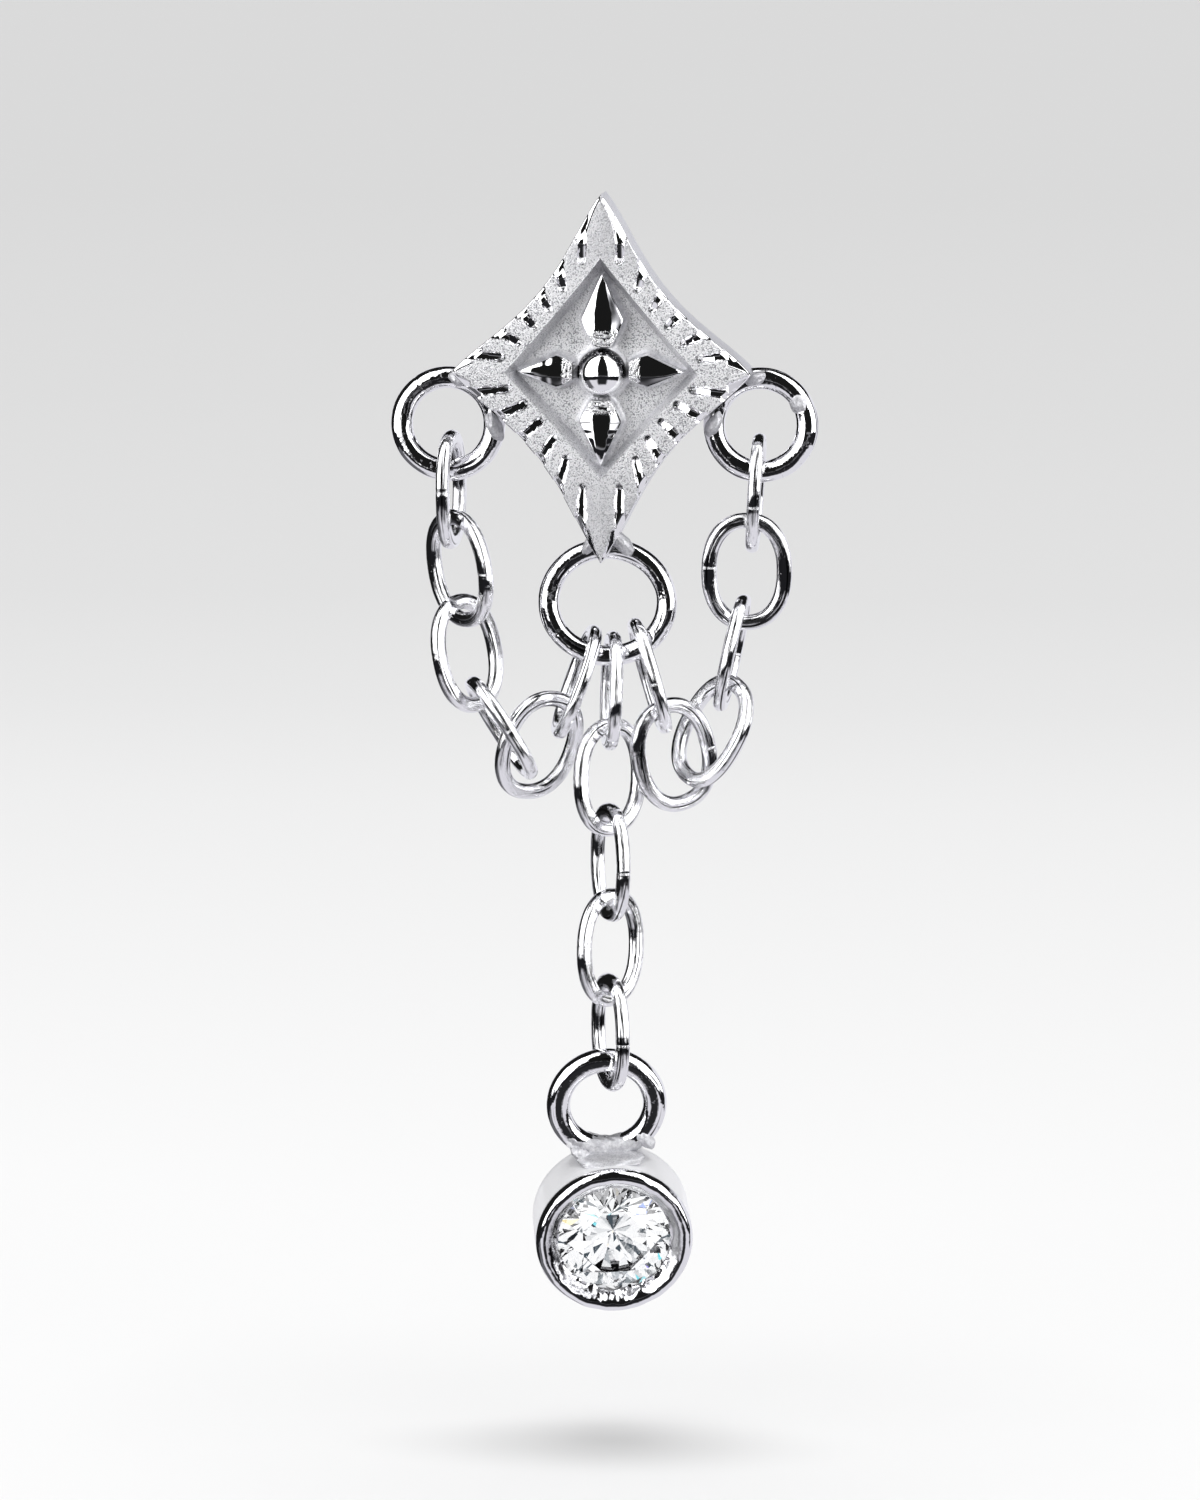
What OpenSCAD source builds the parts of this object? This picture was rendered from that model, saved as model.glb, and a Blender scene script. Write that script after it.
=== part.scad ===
// Flat back stud earring: a cast star with raised relief on a labret post, two chain swags
// under it, and a short chain that carries a round stone in a bezel cup.
// Millimetres. The origin is at the star's back, on the post's axis. The face looks to -Y.

/* [Star] */
// Width of the star from tip to tip
star_w = 6.0; // [5.8:0.1:6.2]
// Reach of the upper arm above the centre
star_up = 3.56; // [3.4:0.02:3.8]
// Reach of the lower arm below the centre
star_down = 3.8; // [3.6:0.02:3.9]
// Thickness of the cast plate at its border
star_t = 1.1; // [0.9:0.05:1.3]
// Radius of the hollow curve of each side
side_r = 8.6; // [8:0.1:12]
// Depth of the sunk lozenge
recess_d = 0.45; // [0.3:0.05:0.6]
// Diameter of the ball in the middle
ball_d = 1.0; // [0.8:0.05:1.1]
// Height of the petals' ridges above the sunk floor
petal_h = 0.42; // [0.3:0.02:0.5]
// Diameter of the round cutter that sinks the flutes
flute_d = 0.36; // [0.3:0.02:0.4]
// Depth of a flute at the star's edge
flute_deep = 0.3; // [0.2:0.02:0.36]

/* [Post] */
// Diameter of the post
post_d = 1.0; // [0.8:0.1:1.2]
// Length of the post between the star and the flat disc
post_l = 4.8; // [4.8:0.1:8]
// Diameter of the flat disc
disc_d = 2.5; // [2.5:0.1:4]
// Thickness of the flat disc
disc_t = 0.3; // [0.3:0.05:0.6]

/* [Soldered rings] */
// Outer diameter of the left and right rings
side_ring_d = 2.34; // [2.3:0.02:2.4]
// Wire of the left and right rings
side_ring_wire = 0.47; // [0.42:0.01:0.48]
// Outer diameter of the bottom ring
low_ring_d = 2.74; // [2.7:0.02:2.8]
// Wire of the bottom ring
low_ring_wire = 0.45; // [0.4:0.01:0.46]

/* [Chain] */
// Length of a link over its ends
link_l = 2.43; // [2.4:0.01:2.43]
// Width of a link over its sides
link_w = 1.84; // [1.8:0.01:1.86]
// Wire of a link
link_wire = 0.33; // [0.3:0.01:0.33]

/* [Drop] */
// Outer diameter of the drop's loop
loop_d = 2.46; // [2.42:0.02:2.5]
// Wire of the drop's loop
loop_wire = 0.5; // [0.46:0.01:0.5]
// Outer diameter of the bezel cup
cup_d = 3.2; // [3.1:0.02:3.3]
// Diameter of the stone
stone_d = 2.4; // [2.36:0.01:2.42]
// How far the cup's face tips down as the drop hangs
drop_tip = 14.5; // [10:0.5:18]
// How far the cup's face is turned to the right
drop_yaw = 9; // [5:0.5:12]

/* [Hidden] */
$fn = 64;

// The tips of the star in the plane of its face
TIPS = [[0, star_up], [star_w / 2, 0], [0, -star_down], [-star_w / 2, 0]];

// The sunk lozenge, as shares of the reach up, right, down and left, and of its floor to its mouth
RECESS = [0.65, 0.66, 0.56, 0.64];
RECESS_FLOOR = 0.84;

// The flutes of a side, as shares of the way from its upright tip to its level tip. A flute is
// shortest at mid-side and longest near the tips, and the fan turns with the share
FLUTES = [0.13, 0.32, 0.46, 0.58, 0.70, 0.85];
FLUTE_SHORT = 0.48;
FLUTE_GROWTH = 2.7;

// The petals
P_ANGLE = 0;
P_MIDDLE = 1;
P_HALF_LENGTH = 2;
P_HALF_WIDTH = 3;
PETALS = [
  // angle, middle, half length, half width
  [90, 1.32, 0.80, 0.40],
  [0, 1.06, 0.58, 0.29],
  [270, 1.20, 0.70, 0.38],
  [180, 1.02, 0.56, 0.28]
];

// The middles of the soldered rings, and how far they lie in front of the star's back
LEFT_RING = [-3.15, -1.10];
RIGHT_RING = [3.13, -1.06];
LOW_RING = [0.03, -4.67];
RING_LIFT = 0.28;

// Lumps of solder on the head, in the plane of the rings
S_X = 0;
S_Z = 1;
S_RADIUS = 2;
HEAD_SOLDER = [
  // x, z, radius
  [-2.88, -0.17, 0.27],
  [2.86, -0.14, 0.27],
  [3.98, -0.66, 0.28],
  [-0.30, -3.60, 0.26],
  [0.36, -3.58, 0.26],
  [1.10, -4.27, 0.27]
];

// A link's place: its middle, its turn about its own length, its nod to the front and its lean
L_X = 0;
L_Y = 1;
L_Z = 2;
L_TURN = 3;
L_NOD = 4;
L_LEAN = 5;
LEFT_LINKS = [
  // x, y, z, turn, nod, lean
  [-3.07, -0.49, -2.40, 84, 7, 0],
  [-2.90, -0.49, -3.99, -42, 2, -8],
  [-2.75, -0.50, -5.70, 51, 2, -11],
  [-2.08, -0.37, -7.22, 108, -1, -33],
  [-1.33, -0.24, -7.58, 35, 12, 18]
];
RIGHT_LINKS = [
  // x, y, z, turn, nod, lean
  [3.01, -0.01, -2.45, 92, 7, 4],
  [2.84, -0.10, -4.03, 7, 7, 0],
  [2.53, 0.13, -5.70, 88, 1, 12],
  [2.17, -0.22, -7.24, -44, 3, 29],
  [1.39, -0.19, -7.74, 27, 15, -12]
];
CENTRE_LINKS = [
  // x, y, z, turn, nod, lean
  [-0.58, -0.18, -6.29, -78, 0, 20],
  [0.14, -0.33, -6.44, -77, -2, 2],
  [0.92, -0.39, -6.12, -77, 0, -16]
];
DROP_LINKS = [
  // x, y, z, turn, nod, lean
  [0.11, -0.33, -8.19, 46, 0, 0],
  [0.12, -0.32, -9.93, -64, 0, 0],
  [0.12, -0.31, -11.67, 52, 0, 0],
  [0.12, -0.29, -13.41, -65, 2, 0]
];

// A link's body: stations along its oval, sides of its wire, and how full the oval is
STATIONS = 16;
WIRE_SIDES = 6;
FULLNESS = 2.25;

// The drop: the middle of its loop, its lean to the side, and the cup measured from the loop
LOOP_AT = [0.01, 0, -14.94];
DROP_LEAN = -3;
CUP_BELOW = 2.6;
CUP_BACK = -0.34;
CUP_RIM = 1.16;
SETTING_SOLDER = [
  // x, z, radius
  [-0.62, -0.80, 0.29],
  [0.70, -0.78, 0.29]
];

// The stone: heights above the plane of the loop, and shares of the girdle's radius
GIRDLE_FRONT = 0.79;
GIRDLE_BACK = 0.73;
TABLE_AT = 1.12;
CULET_AT = -0.27;
TABLE_SHARE = 0.58;
MAIN_SHARE = 0.80;
MAIN_AT = 0.98;

// Turns the drawing plane up, so that its +Z looks to the front
module facing() {
  rotate([90, 0, 0]) children();
}

module torus(outer_d, wire) {
  rotate_extrude() translate([(outer_d - wire) / 2, 0]) circle(d = wire);
}

module solder(lumps) {
  for (s = lumps) translate([s[S_X], s[S_Z], 0]) sphere(r = s[S_RADIUS]);
}

// How far a hollow side lies inside the straight line between its tips
function hollow(chord, share) =
  sqrt(pow(side_r, 2) - pow(chord * (share - 0.5), 2)) - sqrt(pow(side_r, 2) - pow(chord, 2) / 4);

// Points out of the star, square to the side between the tips p and q
function outward(p, q) =
  let (square = [q[1] - p[1], p[0] - q[0]] / norm(q - p))
  square * (p + q) > 0 ? square : -square;

module hollow_side(p, q) {
  middle = (p + q) / 2 + outward(p, q) * sqrt(pow(side_r, 2) - pow(norm(q - p), 2) / 4);
  translate([middle[0], middle[1], -1]) cylinder(r = side_r, h = star_t + 2, $fn = 240);
}

module star_plate() {
  difference() {
    translate([-star_w / 2 - 0.5, -star_down - 0.5, 0])
      cube([star_w + 1, star_up + star_down + 1, star_t]);
    for (i = [0:3]) hollow_side(TIPS[i], TIPS[(i + 1) % 4]);
  }
}

module recess() {
  translate([0, 0, star_t - recess_d])
    linear_extrude(height = recess_d + 0.01, scale = 1 / RECESS_FLOOR)
      polygon([for (i = [0:3]) TIPS[i] * RECESS[i] * RECESS_FLOOR]);
}

// A round cutter that dips towards the edge of the star
module flute(upright, level, share) {
  chord = norm(level - upright);
  at = upright + (level - upright) * share - outward(upright, level) * hollow(chord, share);
  inner = FLUTE_SHORT + FLUTE_GROWTH * pow(share - 0.5, 2);
  fan = atan2(sign(upright[1]) * (1 - share), sign(level[0]) * share);
  dip = atan2(flute_deep, inner);
  translate([at[0], at[1], star_t + flute_d / 2 - flute_deep])
    rotate([0, 0, fan]) rotate([0, 90 + dip, 0])
      translate([0, 0, -2]) cylinder(d = flute_d, h = 3);
}

// One of the two balls that share a petal
module petal_ball(row, side) {
  half_l = row[P_HALF_LENGTH];
  half_w = row[P_HALF_WIDTH];
  ridge_r = (pow(half_l, 2) + pow(petal_h, 2)) / (2 * petal_h);
  apart = (pow(half_l, 2) - pow(half_w, 2)) / (2 * half_w);
  translate([0, side * apart, star_t - recess_d + petal_h - ridge_r])
    sphere(r = sqrt(pow(ridge_r, 2) + pow(apart, 2)), $fn = 96);
}

// A leaf with a sharp ridge: what two balls share, cut off at the sunk floor
module petal(row) {
  rotate(row[P_ANGLE]) translate([row[P_MIDDLE], 0, 0]) intersection() {
    petal_ball(row, 1);
    petal_ball(row, -1);
    translate([-1, -1, star_t - recess_d - 0.1]) cube([2, 2, 1]);
  }
}

module star_head() {
  color("silver") facing() {
    difference() {
      star_plate();
      recess();
      for (u = [0, 2], l = [1, 3], share = FLUTES) flute(TIPS[u], TIPS[l], share);
    }
    for (row = PETALS) petal(row);
    translate([0, 0, star_t - recess_d + 0.2]) sphere(d = ball_d);
    translate([0, 0, RING_LIFT]) {
      translate(LEFT_RING) torus(side_ring_d, side_ring_wire);
      translate(RIGHT_RING) torus(side_ring_d, side_ring_wire);
      translate(LOW_RING) torus(low_ring_d, low_ring_wire);
      solder(HEAD_SOLDER);
    }
  }
}

module flat_back_post() {
  seat = 0.04;
  color("silver") rotate([-90, 0, 0]) {
    translate([0, 0, seat]) cylinder(d = post_d, h = post_l - seat);
    translate([0, 0, post_l]) cylinder(d = disc_d, h = disc_t);
  }
}

function full(c) = sign(c) * pow(abs(c), 2 / FULLNESS);

// A point of the oval along the middle of a link's wire
function oval(angle) = [
  (link_w - link_wire) / 2 * full(cos(angle)),
  0,
  (link_l - link_wire) / 2 * full(sin(angle))
];

// The ring of points round the wire at one station
function wire_ring(angle) =
  let (
    step = 180 / STATIONS,
    along = oval(angle + step) - oval(angle - step),
    out = [along[2], 0, -along[0]] / norm(along)
  )
  [for (j = [0:WIRE_SIDES - 1])
    oval(angle) + link_wire / 2 * (out * cos(j * 360 / WIRE_SIDES)
      + [0, 1, 0] * sin(j * 360 / WIRE_SIDES))];

module link() {
  rings = [for (i = [0:STATIONS - 1]) each wire_ring((i + 0.5) * 360 / STATIONS)];
  faces = [for (i = [0:STATIONS - 1], j = [0:WIRE_SIDES - 1])
    let (next_i = (i + 1) % STATIONS, next_j = (j + 1) % WIRE_SIDES)
    [i * WIRE_SIDES + j, next_i * WIRE_SIDES + j,
     next_i * WIRE_SIDES + next_j, i * WIRE_SIDES + next_j]];
  color("silver") polyhedron(rings, faces);
}

module hung(row) {
  translate([row[L_X], row[L_Y], row[L_Z]])
    rotate([row[L_NOD], row[L_LEAN], 0]) rotate(row[L_TURN]) link();
}

module link_left(i) hung(LEFT_LINKS[i - 1]);
module link_right(i) hung(RIGHT_LINKS[i - 1]);
module link_centre(i) hung(CENTRE_LINKS[i - 1]);
module link_drop(i) hung(DROP_LINKS[i - 1]);

// Places its children in the frame of the drop, whose middle is the middle of the loop
module drop_frame() {
  translate(LOOP_AT) rotate([0, 0, drop_yaw]) rotate([drop_tip, DROP_LEAN, 0]) facing() children();
}

// Half of the cup's section: radius and height, round the bore, the seat, the lip and the wall
module cup_section() {
  wall = cup_d / 2;
  seat = stone_d / 2 + 0.04;
  bore = 0.9;
  lip = seat - 0.11;
  polygon([
    [bore, CUP_BACK], [wall - 0.06, CUP_BACK], [wall, CUP_BACK + 0.06],
    [wall, CUP_RIM - 0.18], [wall - 0.06, CUP_RIM - 0.04], [wall - 0.2, CUP_RIM],
    [lip + 0.06, CUP_RIM - 0.12], [lip, GIRDLE_FRONT + 0.13],
    [seat, GIRDLE_FRONT + 0.05], [seat, GIRDLE_BACK - 0.03],
    [bore, GIRDLE_BACK - 0.31]
  ]);
}

module drop_setting() {
  color("silver") drop_frame() {
    torus(loop_d, loop_wire);
    translate([0, -CUP_BELOW, 0]) rotate_extrude($fn = 96) cup_section();
    solder(SETTING_SOLDER);
  }
}

function facet_ring(count, share, height, start) =
  [for (i = [0:count - 1]) let (a = start + i * 360 / count)
    [stone_d / 2 * share * cos(a), stone_d / 2 * share * sin(a), height]];

// Round brilliant: table, star and main facets on the crown, and a pointed pavilion
module drop_stone() {
  corners = concat(
    facet_ring(8, TABLE_SHARE, TABLE_AT, 22.5),
    facet_ring(8, MAIN_SHARE, MAIN_AT, 0),
    facet_ring(16, 1, GIRDLE_FRONT, 0),
    facet_ring(16, 1, GIRDLE_BACK, 0),
    [[0, 0, CULET_AT]]
  );
  color("white") drop_frame() translate([0, -CUP_BELOW, 0])
    hull() polyhedron(corners, [[for (i = [0:len(corners) - 1]) i]]);
}

star_head();
flat_back_post();
link_left(1);  // link_left_1
link_left(2);  // link_left_2
link_left(3);  // link_left_3
link_left(4);  // link_left_4
link_left(5);  // link_left_5
link_right(1);  // link_right_1
link_right(2);  // link_right_2
link_right(3);  // link_right_3
link_right(4);  // link_right_4
link_right(5);  // link_right_5
link_centre(1);  // link_centre_1
link_centre(2);  // link_centre_2
link_centre(3);  // link_centre_3
link_drop(1);  // link_drop_1
link_drop(2);  // link_drop_2
link_drop(3);  // link_drop_3
link_drop(4);  // link_drop_4
drop_setting();
drop_stone();
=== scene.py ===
import math

import bmesh
import bpy
import numpy as np
from mathutils import Matrix, Vector, noise


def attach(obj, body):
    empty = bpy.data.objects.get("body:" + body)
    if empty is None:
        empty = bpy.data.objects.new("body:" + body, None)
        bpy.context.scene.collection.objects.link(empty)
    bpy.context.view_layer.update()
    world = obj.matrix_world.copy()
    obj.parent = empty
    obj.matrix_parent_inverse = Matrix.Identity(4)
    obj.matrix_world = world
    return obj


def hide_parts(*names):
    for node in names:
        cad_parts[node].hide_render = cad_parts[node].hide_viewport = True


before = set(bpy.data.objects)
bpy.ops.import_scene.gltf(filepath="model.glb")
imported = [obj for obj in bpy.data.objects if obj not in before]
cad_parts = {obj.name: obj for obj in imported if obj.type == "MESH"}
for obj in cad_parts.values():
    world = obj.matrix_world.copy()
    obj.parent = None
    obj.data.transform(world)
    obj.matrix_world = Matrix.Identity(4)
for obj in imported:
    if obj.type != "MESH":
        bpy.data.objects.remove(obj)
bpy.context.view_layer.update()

# Cast star: one silver casting, flat behind, with hollow sides. Its border has plain sandy ribs
# between polished flutes, round a sunk lozenge whose floor keeps the grain of the mould. The
# flutes and the tips' bevels are burnished, and the sides of the plate are left satin.
MM = 0.001  # the earring's sizes are in millimetres, and the frame is in metres
STAR_THICK = 1.1
STAR_TIPS = np.array([[0, 3.56], [3.0, 0], [0, -3.8], [-3.0, 0]])
SIDE_BOW = 0.31
SIDE_STEPS = 264
SINK = 0.45
SINK_MOUTH = (0.645, 0.65, 0.556, 0.645)  # a share of each tip
SINK_FOOT = 0.90
BALL_RADIUS = 0.5
BALL_MIDDLE = STAR_THICK - SINK + 0.2
EDGE_ROUND = 0.035
MOUTH_BOW = 0.02
BORDER_FALL = 0.02
# the grey shade painted on the lozenge's wall, which is also smoother there
WALL_FILM = 0.44
UNDER_BALL = 0.28
BALL_FOOT = 0.458
BALL_FILLET, LEAF_FILLET = (0.12, 0.06), (0.10, 0.05)  # height, reach
FLOOR_STEPS, WALL_STEPS, BORDER_STEPS = 30, 10, 41


def side_axes(tip, next_tip):
    """Length, direction and inward square of the straight line between two of the star's tips."""
    chord = next_tip - tip
    length = np.linalg.norm(chord)
    along = chord / length
    inward = np.array([-along[1], along[0]])
    return length, along, inward if inward @ tip < 0 else -inward


def side_bow(share):
    """How far a hollow side lies inside that line: it is straight at the tips and bends between."""
    return SIDE_BOW * np.clip(4 * share * (1 - share), 0, 1) ** 1.8


def side_points(tip, next_tip, shares):
    """Points along one hollow side of the star, at shares of the way from tip to tip."""
    length, along, inward = side_axes(tip, next_tip)
    shares = np.asarray(shares)
    return tip + np.outer(shares * length, along) + np.outer(side_bow(shares), inward)


def lozenge_reach(direction, corners, bow):
    """How far a lozenge with slightly hollow sides reaches along each direction."""
    reach = np.zeros(len(direction))
    for i in range(4):
        a, b = corners[i], corners[(i + 1) % 4]
        solved = np.linalg.solve(np.array([a, b]).T, direction.T).T
        inside = (solved > -1e-9).all(1)
        total = solved[inside].sum(1)
        along = solved[inside][:, 1] / total
        reach[inside] = (1 - bow * 4 * along * (1 - along)) / total
    return reach


def between(value, low, high):
    return np.clip((value - low) / (high - low), 0, 1)


def ripple(x, y, z):
    """Smooth noise at a point, from about -1 to 1."""
    return noise.noise(Vector((x, y, z)))


even = np.arange(SIDE_STEPS) / SIDE_STEPS
outline = np.concatenate([side_points(STAR_TIPS[i], STAR_TIPS[(i + 1) % 4], even) for i in range(4)])
edge_reach = np.linalg.norm(outline, axis=1)
heading = outline / edge_reach[:, None]
mouth_corners = STAR_TIPS * np.array(SINK_MOUTH)[:, None]
mouth_reach = lozenge_reach(heading, mouth_corners, MOUTH_BOW)
foot_reach = lozenge_reach(heading, mouth_corners * SINK_FOOT, MOUTH_BOW)

# rings of points from under the ball out to the edge: reach along each direction
rim_reach = edge_reach - EDGE_ROUND
under = np.full(len(outline), UNDER_BALL)
zones = [under]
for inner, outer, steps in (
    (under, foot_reach, FLOOR_STEPS),
    (foot_reach, mouth_reach, WALL_STEPS),
    (mouth_reach, rim_reach, BORDER_STEPS),
):
    zones += [inner * (1 - share) + outer * share for share in np.linspace(0, 1, steps + 1)[1:]]
border_from = 1 + FLOOR_STEPS + WALL_STEPS
reach = np.array(zones)
points = reach[:, :, None] * heading[None]

# heights over the star's back, and where the metal is polished or lies in a smooth hollow, which the
# material also paints with grey shade
sunk = between(reach, foot_reach, mouth_reach)
height = STAR_THICK - SINK * (1 - sunk**1.3)
to_edge = between(reach, mouth_reach, edge_reach)
height -= BORDER_FALL * to_edge**2
polish = np.zeros(reach.shape)
hollow = WALL_FILM * np.exp(-(((sunk - 0.2) / 0.5) ** 2))
on_floor = reach < foot_reach
hollow[on_floor] = (WALL_FILM * np.exp(-0.16 - ((foot_reach - reach) / 0.10) ** 2))[on_floor]
border = np.zeros(reach.shape, bool)
border[border_from:] = True

# the floor runs up in a fillet round the ball and round each leaf
LEAVES = (
    # name, angle, outer end, widest place, inner end, half width, inner half width, rise, offset
    ("leaf_top", 90, 1.99, 1.08, 0.54, 0.41, 0.17, 0.42, -0.03),
    ("leaf_right", 0, 1.66, 0.93, 0.56, 0.31, 0.18, 0.38, 0.06),
    ("leaf_bottom", -90, 1.84, 0.98, 0.54, 0.41, 0.20, 0.42, -0.01),
    ("leaf_left", 180, 1.68, 0.91, 0.58, 0.31, 0.17, 0.38, -0.04),
)


def leaf_half_width(run, row):
    """Half a leaf's width at distances from the star's middle."""
    _, _, outer, widest, inner, half, inner_half, _, _ = row
    tip_share = between(run, widest, outer)
    root_share = between(-run, -widest, -inner)
    return half * (1 - tip_share) ** 1.05 * (1 - root_share**1.3 * (1 - inner_half / half))


ball_gap = np.maximum(reach - BALL_FOOT, 0)
height[:border_from] += (BALL_FILLET[0] * np.exp(-ball_gap / BALL_FILLET[1]))[:border_from]
# painted shade: the fillets round the ball and round each leaf are marked as hollows, which the material
# paints grey
hollow = np.maximum(hollow, np.exp(-((ball_gap / 0.13) ** 2)))
for row in LEAVES:
    _, angle, outer, _, inner, _, _, _, offset = row
    turn = math.radians(angle)
    run = points @ np.array([math.cos(turn), math.sin(turn)])
    off = points @ np.array([-math.sin(turn), math.cos(turn)]) - offset
    nearest = np.clip(run, inner, outer)
    gap = np.hypot(np.maximum(np.abs(off) - leaf_half_width(nearest, row), 0), run - nearest)
    height[:border_from] += (LEAF_FILLET[0] * np.exp(-gap / LEAF_FILLET[1]))[:border_from]
    hollow = np.maximum(hollow, np.exp(-((gap / 0.12) ** 2)))
hollow[border_from:] *= between(-to_edge, -0.12, 0)[border_from:]
# painted shade: the upright tips are marked to be painted a little darker
upright_film = 0.4 * between(np.abs(points[..., 1]), 1.7, 2.5)
hollow[border] = np.maximum(hollow, upright_film)[border]

# the flutes, as shares of the way from an upright tip to a level one: a flute's floor climbs from
# the lozenge, lies level, and falls off in a small bevel along the star's edge
FLUTE_SHARES = (0.15, 0.35, 0.49, 0.61, 0.74, 0.885)
FLUTE_HALF, FLUTE_DEPTH, FLOOR_CLIMB = 0.105, 0.06, 0.34
BEVEL_WIDE, BEVEL_SLOPE = 0.12, 0.8
ragged = np.array([[ripple(x * 6, y * 6, 3) for x, y in ring] for ring in points])
for upright, shortest in ((0, 0.45), (2, 0.60)):
    for level in (1, 3):
        tip, far = STAR_TIPS[upright], STAR_TIPS[level]
        length, along, inward = side_axes(tip, far)
        to_side = (points - tip) @ inward - side_bow((points - tip) @ along / length)
        for share, at in zip(FLUTE_SHARES, side_points(tip, far, FLUTE_SHARES)):
            # they are shortest in the middle of a side, and turn from upright to level along it
            long = shortest + 2.3 * (share - 0.55) ** 2
            fan = math.radians(min(90, 132 * (0.93 - share)))
            ahead = [math.copysign(math.cos(fan), far[0]), math.copysign(math.sin(fan), tip[1])]
            run = (points - at) @ np.array(ahead) + long
            off = np.abs((points - at) @ np.array([-ahead[1], ahead[0]]))
            # a ragged edge, a round inner end, and an open outer end
            half = FLUTE_HALF * (0.86 + 0.24 * between(run, 0, long)) + 0.03 * ragged
            half *= np.sqrt(1 - between(-run, -0.08, 0) ** 2)
            half = np.where(to_side < 0.08, 0.15, half)
            wall = between(half - off, 0, 0.035)
            ramp = 0.5 * long
            floor = FLUTE_DEPTH + FLOOR_CLIMB * ramp * between(-run, -ramp, 0) ** 1.1
            floor += BEVEL_SLOPE * np.maximum(BEVEL_WIDE - to_side, 0)
            floor += 0.010 * (1 - (off / FLUTE_HALF) ** 2)
            cut = STAR_THICK - floor * wall
            inside = border & (run > 0) & (off < half) & (run < long + 0.4) & (cut < height)
            height[inside] = cut[inside]
            polish[inside] = between(wall, 0, 0.5)[inside]
            hollow[inside] = 0

# the tips: a sandy rib that comes to a point between two bevels
TIP_BEVELS = (
    # tip, starts at, rib's half width there, fall
    (0, 2.68, 0.31, 0.46),
    (1, 2.52, 0.16, 0.45),
    (2, 3.10, 0.22, 0.45),
    (3, 2.60, 0.16, 0.45),
)
for tip, start, rib, fall in TIP_BEVELS:
    length = np.linalg.norm(STAR_TIPS[tip])
    ahead = STAR_TIPS[tip] / length
    run = points @ ahead
    off = np.abs(points @ np.array([-ahead[1], ahead[0]]))
    rib_half = rib * (1 - between(run, start, 0.965 * length)) ** 0.75
    cut = STAR_THICK - (0.04 + fall * np.maximum(off - rib_half, 0)) * between(off - rib_half, 0, 0.03)
    inside = border & (run > start) & (cut < height)
    height[inside] = cut[inside]
    polish[inside] = 1

# the mould's grain stands in the metal too, where it is not polished
for k, i in np.argwhere((polish < 0.5) & (reach < edge_reach - 0.05)):
    spot = Vector((points[k, i, 0], points[k, i, 1], 0))
    grit = 0.0014 * noise.noise(spot * 24) + 0.003 * noise.noise(spot * 9)
    height[k, i] += grit * (1 - 0.7 * hollow[k, i])

# the rounded edge, the satin side and the flat back
rings = [np.column_stack([points[k], height[k]]) for k in range(len(reach))]
polishes, hollows = list(polish), list(hollow)
lip = height[-1]
for turn in np.linspace(0, math.pi / 2, 5)[1:]:
    ring = heading * (rim_reach + EDGE_ROUND * math.sin(turn))[:, None]
    rings.append(np.column_stack([ring, lip - EDGE_ROUND * (1 - math.cos(turn))]))
    polishes.append(np.maximum(polish[-1], 0.6))
    hollows.append(np.zeros(len(outline)))
for share in (0.02, 0.5, 0.98, 1):
    ring = heading * (edge_reach - 0.03 * (share == 1))[:, None]
    rings.append(np.column_stack([ring, (lip - EDGE_ROUND) * (1 - share) + 0.02 * (share == 0.98)]))
    polishes.append(np.full(len(outline), 0.35))
    hollows.append(np.full(len(outline), 0.5))
for inset in (0.6, 1.4):
    ring = heading * np.maximum(edge_reach - inset, 0.4)[:, None]
    rings.append(np.column_stack([ring, np.zeros(len(outline))]))
    polishes.append(np.full(len(outline), 0.5))
    hollows.append(np.full(len(outline), 0.3))


def facing_front(ring):
    """Plate points (right, up, out of the face) as metres in the row frame."""
    ring = np.asarray(ring)
    return np.stack([ring[..., 0], -ring[..., 2], ring[..., 1]], -1) * MM


def ringed_mesh(name, rings, first=None, last=None, loop=False):
    """A mesh of closed rings of equal count, with a point at either end where one is given."""
    count, turns = len(rings[0]), len(rings)
    co = [np.asarray(r) for r in rings]
    i = np.arange(count)
    j = (i + 1) % count
    faces = []
    for k in range(turns if loop else turns - 1):
        a, b = k * count, (k + 1) % turns * count
        faces.append(np.stack([a + i, b + i, b + j, a + j], 1))
    faces = np.concatenate(faces).tolist()
    if first is not None:
        co.append(np.array([first]))
        faces += [[count * turns, int(n), int(m)] for n, m in zip(i, j)]
    if last is not None:
        co.append(np.array([last]))
        end, point = count * (turns - 1), sum(len(c) for c in co) - 1
        faces += [[point, end + int(m), end + int(n)] for n, m in zip(i, j)]
    mesh = bpy.data.meshes.new(name)
    mesh.from_pydata(np.concatenate(co).tolist(), [], faces)
    mesh.update()
    return mesh


def turned_out(mesh):
    """Gives a closed mesh faces that all look outwards."""
    bm = bmesh.new()
    bm.from_mesh(mesh)
    bmesh.ops.recalc_face_normals(bm, faces=bm.faces)
    bm.to_mesh(mesh)
    bm.free()


def show(mesh, material, body, nodes):
    """Puts a mesh in the scene as a piece that stands for CAD nodes and rides on a body."""
    piece = bpy.data.objects.new(mesh.name, mesh)
    bpy.context.scene.collection.objects.link(piece)
    mesh.materials.append(material)
    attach(piece, body)
    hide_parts(*nodes)


def mark(mesh, name, values):
    """Stores one number a vertex for the material to read."""
    layer = mesh.attributes.new(name, "FLOAT", "POINT")
    layer.data.foreach_set("value", np.asarray(values, np.float32))


def smooth(mesh, corner_degrees):
    """Smooth shading, but for corners sharper than this."""
    mesh.shade_smooth()
    mesh.set_sharp_from_angle(angle=math.radians(corner_degrees))


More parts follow.
